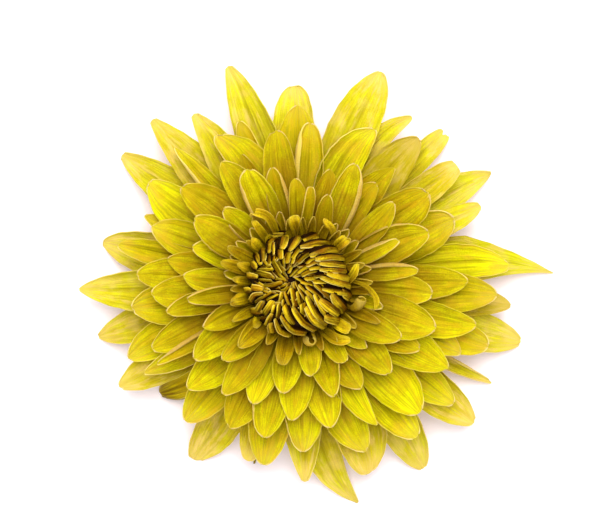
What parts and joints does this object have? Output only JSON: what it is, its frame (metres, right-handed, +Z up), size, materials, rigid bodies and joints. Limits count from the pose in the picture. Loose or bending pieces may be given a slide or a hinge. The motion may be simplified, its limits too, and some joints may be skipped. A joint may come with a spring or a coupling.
{
  "type": "chrysanthemum flower head",
  "caption": "Cut chrysanthemum head lying face up: long overlapping yellow ray florets round a tight incurved button, on a short cut stalk.",
  "frame": {"origin": "on the surface that the head lies on, under the middle of its outline", "axes": "+Z up, out of the face of the flower; +X along its longest extent, towards its longest floret"},
  "size_m": [0.095, 0.0878, 0.0304],
  "materials": {
    "outer_florets": "satin",
    "middle_florets": "satin",
    "button_florets": "satin",
    "green_stalk": "matte",
    "olive_leaf": "matte"
  },
  "bodies": {
    "root": {"stalk_and_receptacle": "green_stalk", "involucre_bracts": "green_stalk", "folded_leaf": "olive_leaf", "small_leaf": "olive_leaf", "outer_floret_01": "outer_florets", "outer_floret_02": "outer_florets", "outer_floret_03": "outer_florets", "outer_floret_04": "outer_florets", "outer_floret_05": "outer_florets", "outer_floret_06": "outer_florets", "outer_floret_07": "outer_florets", "outer_floret_08": "outer_florets", "outer_floret_09": "outer_florets", "outer_floret_10": "outer_florets", "outer_floret_11": "outer_florets", "outer_floret_12": "outer_florets", "outer_floret_13": "outer_florets", "outer_floret_14": "outer_florets", "outer_floret_15": "outer_florets", "outer_floret_16": "outer_florets", "outer_floret_17": "outer_florets", "outer_floret_18": "outer_florets", "outer_floret_19": "outer_florets", "outer_floret_20": "outer_florets", "outer_floret_21": "outer_florets", "outer_floret_22": "outer_florets", "outer_floret_23": "outer_florets", "outer_floret_24": "outer_florets", "outer_floret_25": "outer_florets", "outer_floret_26": "outer_florets", "outer_floret_27": "outer_florets", "second_floret_01": "outer_florets", "second_floret_02": "outer_florets", "second_floret_03": "outer_florets", "second_floret_04": "outer_florets", "second_floret_05": "outer_florets", "second_floret_06": "outer_florets", "second_floret_07": "outer_florets", "second_floret_08": "outer_florets", "second_floret_09": "outer_florets", "second_floret_10": "outer_florets", "second_floret_11": "outer_florets", "second_floret_12": "outer_florets", "second_floret_13": "outer_florets", "second_floret_14": "outer_florets", "second_floret_15": "outer_florets", "second_floret_16": "outer_florets", "second_floret_17": "outer_florets", "second_floret_18": "outer_florets", "second_floret_19": "outer_florets", "second_floret_20": "outer_florets", "second_floret_21": "outer_florets", "second_floret_22": "outer_florets", "second_floret_23": "outer_florets", "second_floret_24": "outer_florets", "third_whorl": "middle_florets", "fourth_whorl": "middle_florets", "fifth_whorl": "middle_florets", "inner_whorl": "button_florets", "button": "button_florets"}
  },
  "joints": []
}
